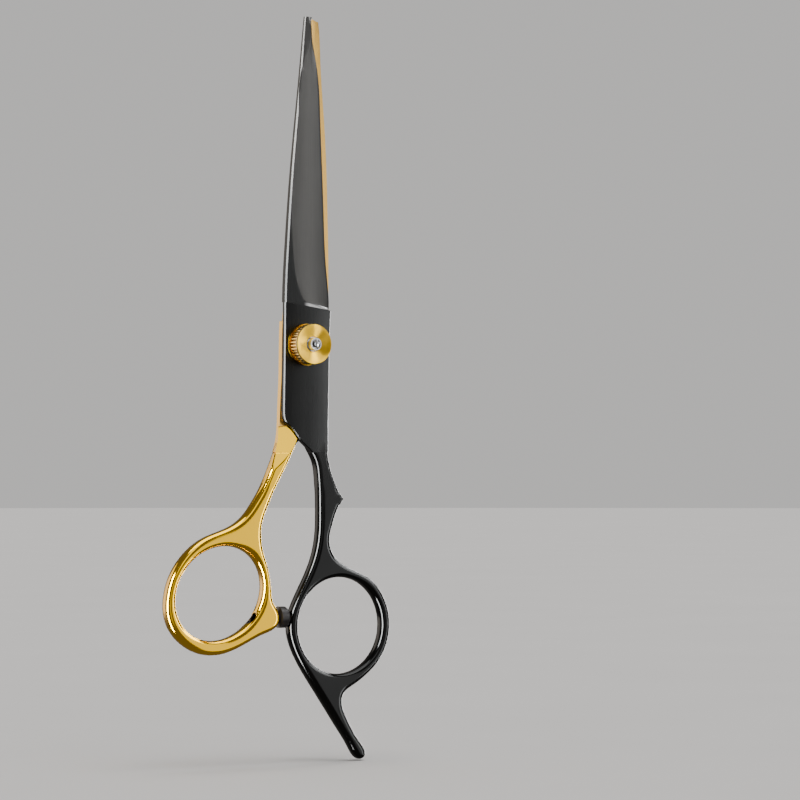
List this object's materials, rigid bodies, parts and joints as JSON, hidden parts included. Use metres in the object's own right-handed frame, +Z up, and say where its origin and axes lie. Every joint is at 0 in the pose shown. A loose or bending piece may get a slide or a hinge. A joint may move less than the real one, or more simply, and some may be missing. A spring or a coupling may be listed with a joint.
{
  "type": "hair cutting shears",
  "caption": "Offset hair cutting shears with two finger rings, a fixed finger rest, an adjustable pivot dial and a rubber silencer.",
  "frame": {"origin": "on the pivot axis, halfway between the two blades", "axes": "+Z up the closed blades towards the tips, -Y out of the front where the tension dial is, +X towards the finger ring"},
  "size_m": [0.06, 0.0097, 0.175],
  "materials": {
    "black_blade": "black coated, satin ground",
    "black_handle": "black coated, glossy",
    "gold_satin": "gold coated, satin ground",
    "gold_polish": "gold coated, polished",
    "bronze": "sintered",
    "nylon": "plain",
    "steel": "polished",
    "spring_steel": "plain",
    "crystal": "faceted",
    "rubber": "smooth"
  },
  "bodies": {
    "front_half": {"front_blade": "black_blade", "front_handle": "black_handle", "pivot_bushing": "bronze", "base_washer": "steel"},
    "rear_half": {"rear_blade": "gold_satin", "rear_handle": "gold_polish", "pivot_bolt": "gold_polish", "blade_washer": "nylon", "click_plate": "gold_polish", "disc_spring": "spring_steel", "retaining_screw": "steel", "bezel": "steel", "crystal": "crystal", "silencer": "rubber"},
    "dial": {"tension_dial": "gold_polish", "detent_balls": "steel", "detent_springs": "spring_steel"}
  },
  "joints": [
    {"name": "blade_pivot", "type": "hinge", "parent": "front_half", "child": "rear_half", "pos_m": [0, 0, 0], "axis": [0, 1, 0], "range_deg": [0, 95]},
    {"name": "dial_turn", "type": "hinge", "parent": "rear_half", "child": "dial", "pos_m": [0, 0, 0], "axis": [0, -1, 0], "range_deg": [-180, 180]}
  ]
}
